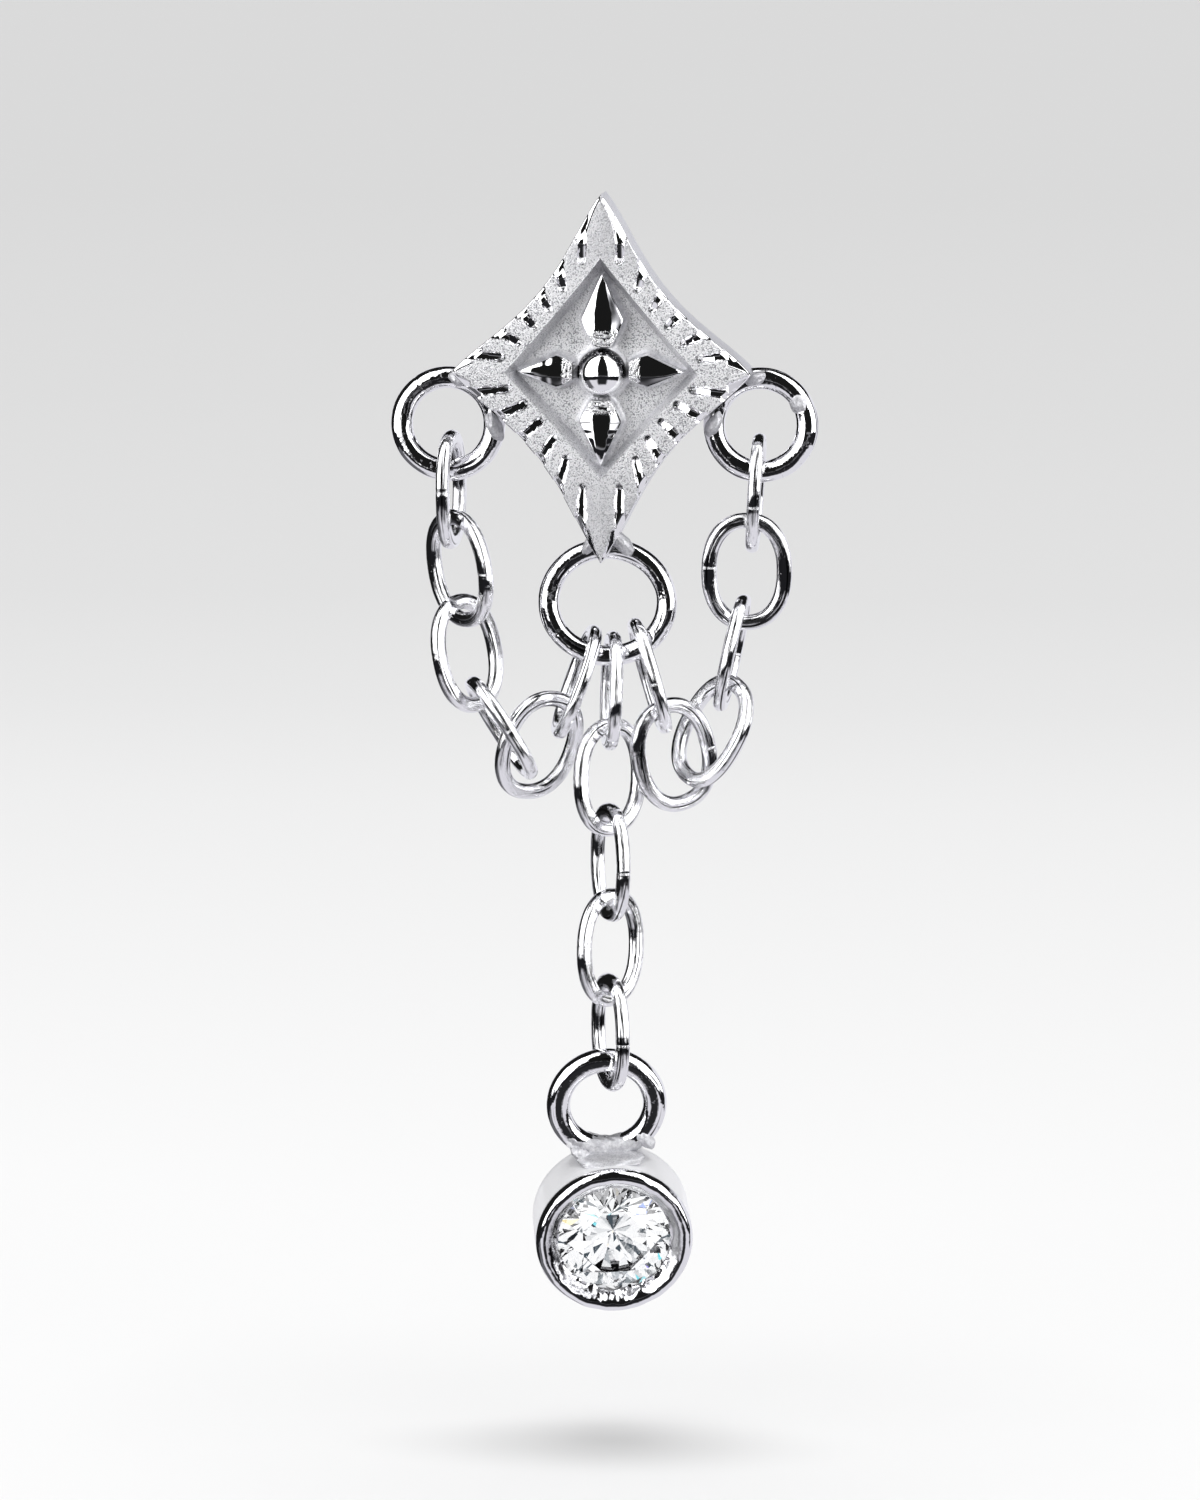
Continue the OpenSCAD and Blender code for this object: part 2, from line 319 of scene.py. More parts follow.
def new_material(name):
    """A metal material, with its nodes and its shader."""
    material = bpy.data.materials.new(name)
    material.use_nodes = True
    nodes = material.node_tree.nodes
    shader = nodes["Principled BSDF"]
    shader.inputs["Metallic"].default_value = 1.0
    return material, nodes, shader


def feed(node, **inputs):
    """Gives a node's sockets (in_NAME or in_NUMBER) a value, or another node's output in use."""
    for key, value in inputs.items():
        name = key[3:].replace("_", " ")
        socket = node.inputs[int(name) if name.isdigit() else name]
        if isinstance(value, bpy.types.Node):
            value = next(output for output in value.outputs if output.enabled)
        if isinstance(value, bpy.types.NodeSocket):
            node.id_data.links.new(value, socket)
        else:
            socket.default_value = value


def put(nodes, kind, **settings):
    """A new shader node with its properties and its sockets set."""
    node = nodes.new(kind if kind.startswith("NodeGroup") else "ShaderNode" + kind)
    for key, value in settings.items():
        if key.startswith("in_"):
            feed(node, **{key: value})
        else:
            setattr(node, key, value)
    return node


def marked(nodes, name):
    """The number that mark() stored on the mesh."""
    return put(nodes, "Attribute", attribute_name=name).outputs["Fac"]


def mottle(nodes, place, scale, detail, roughness=0.5):
    """Smooth noise over the metal."""
    sockets = {"in_Scale": scale, "in_Detail": detail, "in_Roughness": roughness}
    return put(nodes, "TexNoise", in_Vector=place, **sockets)


def maths(nodes, operation, *values, **settings):
    """A sum on numbers or other nodes."""
    sockets = {f"in_{number}": value for number, value in enumerate(values)}
    return put(nodes, "Math", operation=operation, **sockets, **settings)


def spread(nodes, value, low, high, start=0.0, end=1.0, soft=False):
    """Turns the range from low to high into start to end, evenly or with soft ends."""
    way = "SMOOTHSTEP" if soft else "LINEAR"
    sockets = {"in_0": value, "in_1": low, "in_2": high, "in_3": start, "in_4": end}
    return put(nodes, "MapRange", interpolation_type=way, **sockets)


def blend(nodes, share, first, second, **settings):
    """A colour between two, by a share."""
    return put(nodes, "Mix", data_type="RGBA", in_0=share, in_6=first, in_7=second, **settings)


def new_group(name, inputs, outputs):
    """A node group with number inputs (name: value) and outputs (name: Float or Color)."""
    tree = bpy.data.node_groups.new(name, "ShaderNodeTree")
    for label, value in inputs.items():
        socket = tree.interface.new_socket(label, in_out="INPUT", socket_type="NodeSocketFloat")
        socket.default_value = value
    for label, kind in outputs.items():
        tree.interface.new_socket(label, in_out="OUTPUT", socket_type="NodeSocket" + kind)
    return tree, tree.nodes, put(tree.nodes, "NodeGroupInput"), put(tree.nodes, "NodeGroupOutput")


SKIN_OUTPUTS = {"Height": "Float", "Roughness": "Float", "Tone": "Color"}


def cast_grain_group():
    """The sandy skin of a casting: height, roughness and a tone with painted shade in pits and hollows,
    from polish and hollows.
    """
    inputs = {"Polish": 0.0, "Hollow": 0.0, "Grain Size": 0.05, "Dullness": 0.4, "Shine": 0.04}
    tree, nodes, enter, leave = new_group("cast_grain", inputs, SKIN_OUTPUTS)
    place = put(nodes, "TexCoord").outputs["Object"]
    density = maths(nodes, "DIVIDE", 1.0, enter.outputs["Grain Size"])
    metre = put(nodes, "VectorMath", operation="SCALE", in_Scale=1000.0, in_0=place)
    grit = mottle(nodes, metre, density, 1.5, 0.55)
    sand = put(nodes, "TexVoronoi", feature="F1", in_Vector=metre, in_Scale=density)
    # grains stand proud of the pits between them, and the pits are painted dark as shade
    grains = spread(nodes, sand, 0.15, 0.75, 1.0, 0.0)
    both = maths(nodes, "MULTIPLY_ADD", grit, 1.4, grains)
    bare = maths(nodes, "SUBTRACT", 1.0, enter.outputs["Polish"], use_clamp=True)
    worn = maths(nodes, "MULTIPLY_ADD", enter.outputs["Hollow"], -0.75, 1.0)
    sandy = maths(nodes, "MULTIPLY", bare, worn)
    high = maths(nodes, "MULTIPLY", both, sandy)
    rough = put(
        nodes,
        "Mix",
        data_type="FLOAT",
        in_Factor=enter.outputs["Polish"],
        in_A=enter.outputs["Dullness"],
        in_B=enter.outputs["Shine"],
    )
    pits = spread(nodes, sand, 0.5, 0.8, soft=True)
    dark = maths(nodes, "MULTIPLY", pits, sandy)
    skin = blend(nodes, dark, (0.95, 0.95, 0.96, 1), (0.35, 0.35, 0.37, 1))
    # painted shade: the hollows are painted grey, in faint strokes
    film = maths(nodes, "MULTIPLY", enter.outputs["Hollow"], bare)
    strokes = mottle(nodes, metre, 7.0, 3.0, 0.7)
    uneven = spread(nodes, strokes, 0.35, 0.65, 0.35, 1.0)
    filmed = maths(nodes, "MULTIPLY", film, uneven)
    tone = blend(nodes, filmed, skin, (0.52, 0.52, 0.55, 1))
    feed(leave, in_Height=high, in_Roughness=rough, in_Tone=tone)
    return tree


def grained(nodes, **inputs):
    """The skin of a casting in a material."""
    return put(nodes, "Group", node_tree=cast_grain, **inputs)


def wear_skin(nodes, shader, skin, relief):
    """Gives a material the relief, roughness and tone that a group puts out."""
    bump = put(nodes, "Bump", in_Strength=1.0, in_Distance=relief, in_Height=skin.outputs["Height"])
    feed(shader, in_Normal=bump, in_Roughness=skin.outputs["Roughness"], in_Base_Color=skin.outputs["Tone"])


cast_grain = cast_grain_group()
cast_silver, nodes, shader = new_material("cast_silver_star")
worked = marked(nodes, "polish")
deep = marked(nodes, "hollow")
sockets = {"in_Grain_Size": 0.026, "in_Dullness": 0.50, "in_Shine": 0.03}
grain = grained(nodes, in_Polish=worked, in_Hollow=deep, **sockets)
wear_skin(nodes, shader, grain, relief=0.0000052)

star_mesh = ringed_mesh(
    "star_plate",
    [facing_front(r) for r in rings],
    first=facing_front([0, 0, STAR_THICK - SINK]),
    last=(0, 0, 0),
)
mark(star_mesh, "polish", np.concatenate(polishes + [[0.0, 0.5]]))
mark(star_mesh, "hollow", np.concatenate(hollows + [[1.0, 0.3]]))
turned_out(star_mesh)
smooth(star_mesh, 42)
show(star_mesh, cast_silver, "root", ["star_head"])

# Leaves and ball: four burnished leaves and a ball, raised in the same casting. A leaf has a level
# middle and two falling flanks, and its root keeps some sand where the burnisher could not turn.
LEVEL_SHARE = 0.42
# shares of the half width: the level middle, the flanks, and a skirt that sinks into the floor
across = np.array([-1.12, -1.02, -1, -0.97, -0.9, -0.8, -0.68, -0.56, -0.48, -0.44, -0.40, -0.34, -0.18])
across = np.concatenate([across, [0], -across[::-1]])
for row in LEAVES:
    name, angle, outer, widest, inner, half, _, rise, offset = row
    share = np.linspace(0, 1, 56)
    run = inner + (outer - inner) * share
    width = np.maximum(leaf_half_width(run, row), 0.004)
    tip_share = between(run, widest, outer)
    root_share = between(-run, -widest, -inner)
    crest = rise * (1 - 0.30 * tip_share**7 - 0.03 * root_share**4)
    middle_line = offset * (1 - 0.5 * share)
    level = np.clip(LEVEL_SHARE * half * (1 - tip_share**1.6), 0.001, 0.85 * width)
    level *= np.array([1 + 0.10 * ripple(r * 7, angle, 0) for r in run])
    strips, shine = [], []
    for v in across:
        size = abs(v)
        # the strips bunch at the level middle's edge
        reach_v = np.interp(size, [0, LEVEL_SHARE, 1], [0, 1, 2])
        off = np.where(reach_v < 1, level * reach_v, level + (width - level) * np.minimum(reach_v - 1, 1))
        flank = np.minimum(0.36 * np.maximum(off - level, 0), 0.6 * crest)
        up = crest - 0.003 * np.minimum(1, off / level) ** 2 - flank
        if size > 1.01:
            up = np.full(len(run), -0.04 if size > 1.05 else 0.02)
            off = width * (1.08 if size > 1.05 else 1.0)
        wobble = np.array([ripple(r * 3, v * 1.3, angle) for r in run])
        dents = np.array([ripple(r * 16, v * 7, angle) for r in run])
        rooty = between(root_share, 0.35, 0.8)
        up = up + ((0.004 * wobble + 0.006 * dents * rooty) if size < 0.99 else 0)
        strips.append(np.stack([run, off * math.copysign(1, v) + middle_line, STAR_THICK - SINK + up], 1))
        speckle = np.array([ripple(r * 31, v * 17, angle + 3) for r in run])
        shine.append(np.clip(1 - 1.6 * rooty * (speckle > -0.05), 0, 1) * (size < 1.01))
    strips = np.array(strips)
    turn = math.radians(angle)
    x, y, z = strips[..., 0], strips[..., 1], strips[..., 2]
    c, s = math.cos(turn), math.sin(turn)
    placed = np.stack([x * c - y * s, x * s + y * c, z], -1)
    mesh = bpy.data.meshes.new(name)
    rows, columns = placed.shape[:2]
    i, j = np.meshgrid(np.arange(rows - 1), np.arange(columns - 1), indexing="ij")
    corner = i * columns + j
    faces = np.stack([corner, corner + 1, corner + columns + 1, corner + columns], -1)
    faces = faces.reshape(-1, 4).tolist()
    below = list(range(columns)) + [k * columns + columns - 1 for k in range(1, rows)]
    below += list(range(rows * columns - 2, (rows - 1) * columns - 1, -1))
    below += [k * columns for k in range(rows - 2, 0, -1)]
    faces.append(below[::-1])
    mesh.from_pydata(facing_front(placed).reshape(-1, 3).tolist(), [], faces)
    mesh.update()
    mark(mesh, "polish", np.array(shine).reshape(-1))
    mark(mesh, "hollow", np.zeros(rows * columns))
    turned_out(mesh)
    smooth(mesh, 38)
    show(mesh, cast_silver, "root", ["star_head"])


def full_turn(steps):
    """Angles round a full turn."""
    return np.arange(steps) * 2 * math.pi / steps


BALL_SIDES = 128
ball_rings, ball_film = [], []
around = full_turn(BALL_SIDES)
for turn in np.radians(np.linspace(2, 118, 59)):
    ring = np.stack([np.cos(around), np.sin(around)], 1) * BALL_RADIUS * math.sin(turn)
    dents = [0.002 * ripple(*(p * 5), turn * 2) for p in ring]
    up = BALL_MIDDLE + BALL_RADIUS * math.cos(turn) + np.array(dents)
    ball_rings.append(facing_front(np.column_stack([ring, up])))
    # painted shade: the lower side of the ball, from partway round down to its foot, is marked to be
    # painted nearly black, with a ragged edge
    edge = [0.08 * ripple(*(p * 9), 4) for p in ring]
    film = between(math.sin(turn) + np.array(edge), 0.70, 0.80) * between(np.sin(around), -0.35, -0.1)
    ball_film.append(film if turn < 1.45 else film * between(1.62 - turn, 0, 0.17))
ball_mesh = ringed_mesh(
    "ball",
    ball_rings,
    first=facing_front([0, 0, BALL_MIDDLE + BALL_RADIUS]),
    last=facing_front([0, 0, BALL_MIDDLE - BALL_RADIUS * 0.47]),
)
mark(ball_mesh, "film", np.concatenate(ball_film + [[0.0, 0.0]]))
turned_out(ball_mesh)
smooth(ball_mesh, 40)
ball_silver, nodes, shader = new_material("ball_silver")
# painted shade: the marked band is painted nearly black, broken by small specks
filmed = marked(nodes, "film")
place = put(nodes, "TexCoord").outputs["Object"]
specks = mottle(nodes, place, 26000.0, 2.0)
broken = spread(nodes, specks, 0.60, 0.66, 1.0, 0.0, soft=True)
film_left = maths(nodes, "MULTIPLY", filmed, broken)
tone = blend(nodes, film_left, (0.97, 0.97, 0.98, 1), (0.035, 0.035, 0.04, 1))
scuffs = mottle(nodes, place, 5000.0, 3.0)
bump = put(nodes, "Bump", in_Strength=1.0, in_Distance=0.0000025, in_Height=scuffs)
feed(shader, in_Base_Color=tone, in_Normal=bump, in_Roughness=0.03)
show(ball_mesh, ball_silver, "root", ["star_head"])

# Soldered rings: three rings of thick round wire, closed and soldered beside the star's tips. They
# were filed and hammered by hand, so the wire is uneven, and each keeps a fine seam across it.
RING_LIFT = 0.28
RING_STATIONS, WIRE_SIDES, ROUND = 240, 48, 2.0
GROOVE_DEPTH, GROOVE_ANGLE, SEAM_ANGLE = 0.075, 0.13, 0.02  # a share of the wire, and radians


def oval_line(half_width, half_height, fullness):
    """The middle line of a wire ring as a function of the angle round it."""

    def line(turn):
        c, s = np.cos(turn), np.sin(turn)
        wide = half_width * np.sign(c) * np.abs(c) ** (2 / fullness)
        high = half_height * np.sign(s) * np.abs(s) ** (2 / fullness)
        return np.stack([wide, np.zeros_like(turn), high], 1)

    return line


def wire_body(line, half, stations, seam, seed, flat, lobes, swells, grooves, cut):
    """Rings of points round a closed wire in its own XZ plane, with two marks for each point.

    Flat, lobes and swells shape its section, and cut is the depth of its seam. The marks are its
    drawn axes (two across the wire and one along it) and its grooves.
    """
    turn = seam + full_turn(stations)
    around = full_turn(WIRE_SIDES)
    middle = line(turn)
    along = line(turn + 0.01) - line(turn - 0.01)
    out = np.stack([along[:, 2], np.zeros(stations), -along[:, 0]], 1)
    out /= np.linalg.norm(out, axis=1)[:, None]
    c, s = np.cos(around), np.sin(around)
    in_plane = half * c
    across = half * s / (1 + (np.abs(s) / flat) ** 8) ** 0.125
    size = np.empty((stations, WIRE_SIDES))
    for i, t in enumerate(turn):
        at = Vector((math.cos(t), math.sin(t), 0)) * 0.9
        swell = swells * (0.5 + 0.5 * noise.noise(at * 2.4 + Vector((0, 0, seed * 3.7))))
        for j in range(WIRE_SIDES):
            lobe = 0.5 + 0.5 * ripple(at.x + 1.1 * c[j], at.y + 1.1 * s[j], seed * 5.3)
            size[i, j] = 1 - swell - lobes * lobe
    # lengthwise grooves from the draw plate, which wander and fade
    groove = np.zeros((stations, WIRE_SIDES))
    for k in range(grooves):
        for i, t in enumerate(turn):
            at = Vector((math.cos(t), math.sin(t), seed * 2.9 + k * 5.1)) * 0.8
            angle = 2 * math.pi * k / grooves + seed * 1.7 + 0.5 * noise.noise(at)
            apart = (around - angle + math.pi) % (2 * math.pi) - math.pi
            deep = min(1.0, max(0.0, 0.55 + 1.6 * noise.noise(at * 1.7 + Vector((4, 0, 0)))))
            groove[i] = np.maximum(groove[i], deep * np.exp(-((apart / GROOVE_ANGLE) ** 2)))
    size -= GROOVE_DEPTH * groove
    past = full_turn(stations)
    size *= (1 - cut * np.exp(-((np.minimum(past, 2 * math.pi - past) / SEAM_ANGLE) ** 2)))[:, None]
    offset = out[:, None] * in_plane[None, :, None] - np.array([0, 1, 0]) * across[None, :, None]
    step = np.linalg.norm(np.diff(middle, axis=0, append=middle[:1]), axis=1)
    run = np.concatenate([[0], np.cumsum(step)[:-1]])
    drawn = np.stack(np.broadcast_arrays(c, s, run[:, None]), -1)
    return middle[:, None] + size[:, :, None] * offset, drawn, groove


def wire_mesh(name, rings, drawn, groove, place):
    """A closed wire from its rings, set in place (a function of points in millimetres)."""
    mesh = ringed_mesh(name, [place(ring) * MM for ring in rings], loop=True)
    mark(mesh, "groove", groove.reshape(-1))
    layer = mesh.attributes.new("drawn", "FLOAT_VECTOR", "POINT")
    layer.data.foreach_set("vector", drawn.reshape(-1).astype(np.float32))
    turned_out(mesh)
    mesh.shade_smooth()
    return mesh


def drawn_wire_group():
    """Long drawing marks along a wire and small dents across it: height, roughness and tone, with painted
    shade in its grooves.
    """
    inputs = {"Marks": 1.0, "Dents": 1.0, "Dent Size": 0.3}
    tree, nodes, enter, leave = new_group("drawn_marks", inputs, SKIN_OUTPUTS)
    drawn = put(nodes, "Attribute", attribute_name="drawn")
    stretch = put(nodes, "Mapping", in_Scale=(1, 1, 0.15), in_Vector=drawn.outputs["Vector"])
    lines = mottle(nodes, stretch, 4.0, 3.0, 0.7)
    place = put(nodes, "TexCoord").outputs["Object"]
    metre = put(nodes, "VectorMath", operation="SCALE", in_Scale=1000.0, in_0=place)
    density = maths(nodes, "DIVIDE", 1.0, enter.outputs["Dent Size"])
    dents = mottle(nodes, metre, density, 2.0, 0.6)
    first = maths(nodes, "MULTIPLY", lines, enter.outputs["Marks"])
    second = maths(nodes, "MULTIPLY_ADD", dents, enter.outputs["Dents"], first)
    feed(leave, in_Height=second)
    # small specks where the polish missed
    specks = mottle(nodes, metre, 9.0, 2.0, 0.6)
    missed = spread(nodes, specks, 0.62, 0.72, soft=True)
    rough = spread(nodes, missed, 0.0, 1.0, 0.03, 0.3)
    feed(leave, in_Roughness=rough)
    tone = blend(nodes, missed, (0.96, 0.96, 0.975, 1), (0.72, 0.72, 0.75, 1))
    # painted shade: the grooves are painted nearly black
    cut = marked(nodes, "groove")
    dark = spread(nodes, cut, 0.3, 0.75, soft=True)
    lined = blend(nodes, dark, tone, (0.06, 0.06, 0.065, 1))
    feed(leave, in_Tone=lined)
    return tree


def drawn_silver(name, marks, dents, dent_size, relief):
    """Polished silver wire, with more or fewer drawing marks and dents."""
    material, nodes, shader = new_material(name)
    sockets = {"in_Marks": marks, "in_Dents": dents, "in_Dent_Size": dent_size}
    wear_skin(nodes, shader, put(nodes, "Group", node_tree=drawn_marks, **sockets), relief)
    return material


drawn_marks = drawn_wire_group()
ring_silver = drawn_silver("ring_silver", marks=0.5, dents=1.6, dent_size=0.22, relief=0.000005)
HEAD_RINGS = (
    # name, x, z, half width, half height, wire half, seam, seed
    ("ring_left", -3.15, -1.10, 0.932, 0.932, 0.236, 2.2, 1),
    ("ring_right", 3.13, -1.06, 0.932, 0.932, 0.236, 0.35, 2),
    ("ring_bottom", 0.06, -4.66, 1.19, 1.085, 0.226, 3.75, 3),
)
for name, x, z, half_w, half_h, wire, seam, seed in HEAD_RINGS:
    line = oval_line(half_w, half_h, ROUND)
    shape = {"flat": 1.0, "lobes": 0.09, "swells": 0.06, "grooves": 2, "cut": 0.03}
    wire_parts = wire_body(line, wire, RING_STATIONS, seam, seed, **shape)
    mesh = wire_mesh(name, *wire_parts, lambda p, x=x, z=z: p + np.array([x, -RING_LIFT, z]))
    show(mesh, ring_silver, "root", ["star_head"])

# Solder at the rings: silver solder that ran between the rings and the star, and froze in small
# lumps with a grainy skin that was left unpolished.
solder_silver, nodes, shader = new_material("solder_silver")
deep = marked(nodes, "hollow")
grain = grained(nodes, in_Polish=0.1, in_Grain_Size=0.03, in_Dullness=0.7, in_Hollow=deep)
wear_skin(nodes, shader, grain, relief=0.0000025)


def solder_lump(
    name, at, size, lean, seed, place=lambda p: p, body="root", slot="cast_silver", node="star_head"
):
    """A lump of solder that has run out of round, in millimetres."""
    bm = bmesh.new()
    bmesh.ops.create_icosphere(bm, subdivisions=5, radius=1)
    tilt = Matrix.Rotation(math.radians(lean), 3, "Y")
    for vert in bm.verts:
        spot = vert.co + Vector((seed * 7.1, 0, 0))
        swell = 0.14 * noise.noise(spot * 1.4) + 0.05 * noise.noise(spot * 3.1)
        swell += 0.010 * noise.noise(spot * 9)
        shaped = tilt @ Vector([c * s for c, s in zip(vert.co * (0.92 + swell), size)])
        vert.co = place(np.array(shaped) + np.array(at)) * MM
    mesh = bpy.data.meshes.new(name)
    bm.to_mesh(mesh)
    bm.free()
    mark(mesh, "hollow", np.full(len(mesh.vertices), 0.8))
    turned_out(mesh)
    mesh.shade_smooth()
    show(mesh, solder_silver, body, [node])


HEAD_SOLDER = (
    # name, place, half sizes, lean, seed
    ("solder_left_tip", (-2.93, -0.46, -0.17), (0.20, 0.22, 0.17), 30, 1),
    ("solder_left_side", (-2.20, -0.46, -1.13), (0.17, 0.24, 0.33), -28, 2),
    ("solder_right_tip", (3.02, -0.46, -0.12), (0.24, 0.22, 0.15), -20, 3),
    ("solder_right_side", (2.20, -0.46, -1.05), (0.15, 0.24, 0.30), 30, 4),
    ("solder_right_ring", (3.91, -0.33, -0.60), (0.22, 0.20, 0.30), -35, 5),
    ("solder_bottom_left", (-0.26, -0.52, -3.45), (0.13, 0.27, 0.27), 30, 6),
    ("solder_bottom_right", (0.36, -0.52, -3.42), (0.17, 0.27, 0.36), -42, 7),
)
for row in HEAD_SOLDER:
    solder_lump(*row)

# Labret post: a plain polished rod with a flat disc at its end, soldered to the star's back.
# The disc's rim is rounded so that it lies softly on the skin. A lathe left fine turned lines.
POST_PROFILE = (
    # y, radius
    (0.0, 0.62),
    (0.06, 0.56),
    (0.16, 0.51),
    (0.3, 0.495),
    (4.7, 0.495),
    (4.78, 0.52),
    (4.81, 0.58),
    (4.82, 1.15),
    (4.84, 1.22),
    (4.9, 1.245),
    (5.02, 1.245),
    (5.07, 1.22),
    (5.095, 1.15),
    (5.098, 0.6),
)
DISC_BACK, POST_SIDES = 5.1, 96
around = full_turn(POST_SIDES)
post_rings = []
for y, radius in POST_PROFILE:
    ring = [radius * np.cos(around), np.full(POST_SIDES, y), radius * np.sin(around)]
    post_rings.append(np.stack(ring, 1) * MM)
post_mesh = ringed_mesh("post_and_disc", post_rings, first=(0, 0, 0), last=(0, DISC_BACK * MM, 0))
turned_out(post_mesh)
smooth(post_mesh, 40)
post_silver, nodes, shader = new_material("post_silver")
place = put(nodes, "TexCoord").outputs["Object"]
parts = put(nodes, "SeparateXYZ", in_0=place)
flat_part = put(nodes, "CombineXYZ", in_X=parts.outputs["X"], in_Z=parts.outputs["Z"])
from_axis = put(nodes, "VectorMath", operation="LENGTH", in_0=flat_part)
turned = put(nodes, "CombineXYZ", in_X=from_axis, in_Y=parts.outputs["Y"])
lathe_lines = mottle(nodes, turned, 24000.0, 2.0, 0.6)
bump = put(nodes, "Bump", in_Strength=0.6, in_Distance=0.000002, in_Height=lathe_lines)
wear = mottle(nodes, place, 1500.0, 4.0, 0.6)
worn = spread(nodes, wear, 0.3, 0.7, 0.06, 0.16)
feed(shader, in_Base_Color=(0.94, 0.94, 0.96, 1), in_Normal=bump, in_Roughness=worn)
show(post_mesh, post_silver, "root", ["flat_back_post"])

# Chain: seventeen oval cable links of drawn wire, pressed a little square, butted and soldered at
# one side. Drawing left fine lines along the wire and soldering a small mark across it.
LINK_LONG, LINK_WIDE, LINK_WIRE = 2.43, 1.84, 0.33
LINK_STATIONS, LINK_FULLNESS = 160, 2.25
LINK_SHAPE = {"flat": 0.86, "lobes": 0.05, "swells": 0.02, "grooves": 5, "cut": 0.025}
chain_silver = drawn_silver("chain_silver", marks=1.6, dents=0.8, dent_size=0.3, relief=0.000006)


def own_axes(node):
    """The middle of a CAD link, and its width, its normal to the back and its length."""
    co = np.array([v.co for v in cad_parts[node].data.vertices]) / MM
    middle = co.mean(0)
    _, axes = np.linalg.eigh(np.cov((co - middle).T))
    normal, long = axes[:, 0], axes[:, 2]
    long = long if long[2] > 0 else -long
    normal = normal if normal[1] < 0 else -normal
    wide = np.cross(long, -normal)
    return middle, np.stack([wide, -normal, long], 1)


link_line = oval_line((LINK_WIDE - LINK_WIRE) / 2, (LINK_LONG - LINK_WIRE) / 2, LINK_FULLNESS)
for number, node in enumerate(sorted(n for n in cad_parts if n.startswith("link_"))):
    middle, axes = own_axes(node)
    seam = 0.1 if number % 2 else math.pi + 0.1
    name = node.replace("link", "cable")
    wire_parts = wire_body(link_line, LINK_WIRE / 2, LINK_STATIONS, seam, 10 + number, **LINK_SHAPE)
    mesh = wire_mesh(name, *wire_parts, lambda p, axes=axes, middle=middle: p @ axes.T + middle)
    show(mesh, chain_silver, "root", [node])

# Bezel cup and its loop: a tube of sheet silver round the stone, with a round wire loop soldered
# on top. The cup's side is satin. Its rim is hammered down on the stone and polished, and the rim's
# inner lip was left ragged.
LOOP_AT = np.array([0.01, 0, -14.94])
DROP_TIP, DROP_YAW, DROP_LEAN = 14.5, 9.0, -3.0
LOOP_RADIUS, LOOP_WIRE_HALF, CUP_BELOW = 0.978, 0.248, 2.6
drop_turn = np.array(
    Matrix.Rotation(math.radians(DROP_YAW), 3, "Z")
    @ Matrix.Rotation(math.radians(DROP_LEAN), 3, "Y")
    @ Matrix.Rotation(math.radians(DROP_TIP), 3, "X")
)


def in_drop(p):
    """Points of the hanging drop (right, towards the back, up) in the row frame, in millimetres."""
    return np.asarray(p) @ drop_turn.T + LOOP_AT


line = oval_line(LOOP_RADIUS, LOOP_RADIUS, ROUND)
shape = {"flat": 0.95, "lobes": 0.03, "swells": 0.02, "grooves": 3, "cut": 0.06}
wire_parts = wire_body(line, LOOP_WIRE_HALF, RING_STATIONS, seam=-1.6, seed=40, **shape)
loop_mesh = wire_mesh("drop_loop", *wire_parts, in_drop)
show(loop_mesh, ring_silver, "drop", ["drop_setting"])

SETTING_SOLDER = (
    # name, place, half sizes, lean, seed
    ("solder_loop_left", (-0.58, -0.20, -0.98), (0.24, 0.24, 0.15), 25, 11),
    ("solder_loop_front", (0.0, -0.42, -1.05), (0.74, 0.46, 0.125), 0, 14),
    ("solder_loop_right", (0.74, -0.08, -0.78), (0.17, 0.22, 0.30), -35, 13),
)
for row in SETTING_SOLDER:
    solder_lump(*row, in_drop, "drop", "polished_silver", "drop_setting")

# the rest of the solder lies as a sleeve round the foot of the loop
SLEEVE_FROM, SLEEVE_SWEEP, SLEEVE_RADIUS = -146, 104, 0.985
SLEEVE_SIDES, SLEEVE_STATIONS = 96, 120
sleeve_rings = []
around = full_turn(SLEEVE_SIDES)
for share in np.linspace(0, 1, SLEEVE_STATIONS):
    t = math.radians(SLEEVE_FROM + SLEEVE_SWEEP * share)
    out = np.array([math.cos(t), 0, math.sin(t)])
    thick = 0.15 + 0.115 * math.sin(math.pi * share) ** 0.45
    ring = []
    for u in around:
        way = out * math.cos(u) + np.array([0, 1, 0]) * math.sin(u)
        spot = Vector(out * 0.98 + way * 0.3)
        rough = 0.028 * noise.noise(spot * 4) + 0.016 * noise.noise(spot * 10)
        rough += 0.004 * noise.noise(spot * 24)
        ring.append(out * SLEEVE_RADIUS + way * (thick + rough))
    sleeve_rings.append(in_drop(np.array(ring)) * MM)
ends = [r.mean(0) for r in (sleeve_rings[0], sleeve_rings[-1])]
sleeve_mesh = ringed_mesh("solder_loop_foot", sleeve_rings, first=ends[0], last=ends[1])
mark(sleeve_mesh, "hollow", np.full(len(sleeve_mesh.vertices), 0.9))
turned_out(sleeve_mesh)
sleeve_mesh.shade_smooth()
show(sleeve_mesh, solder_silver, "drop", ["drop_setting"])

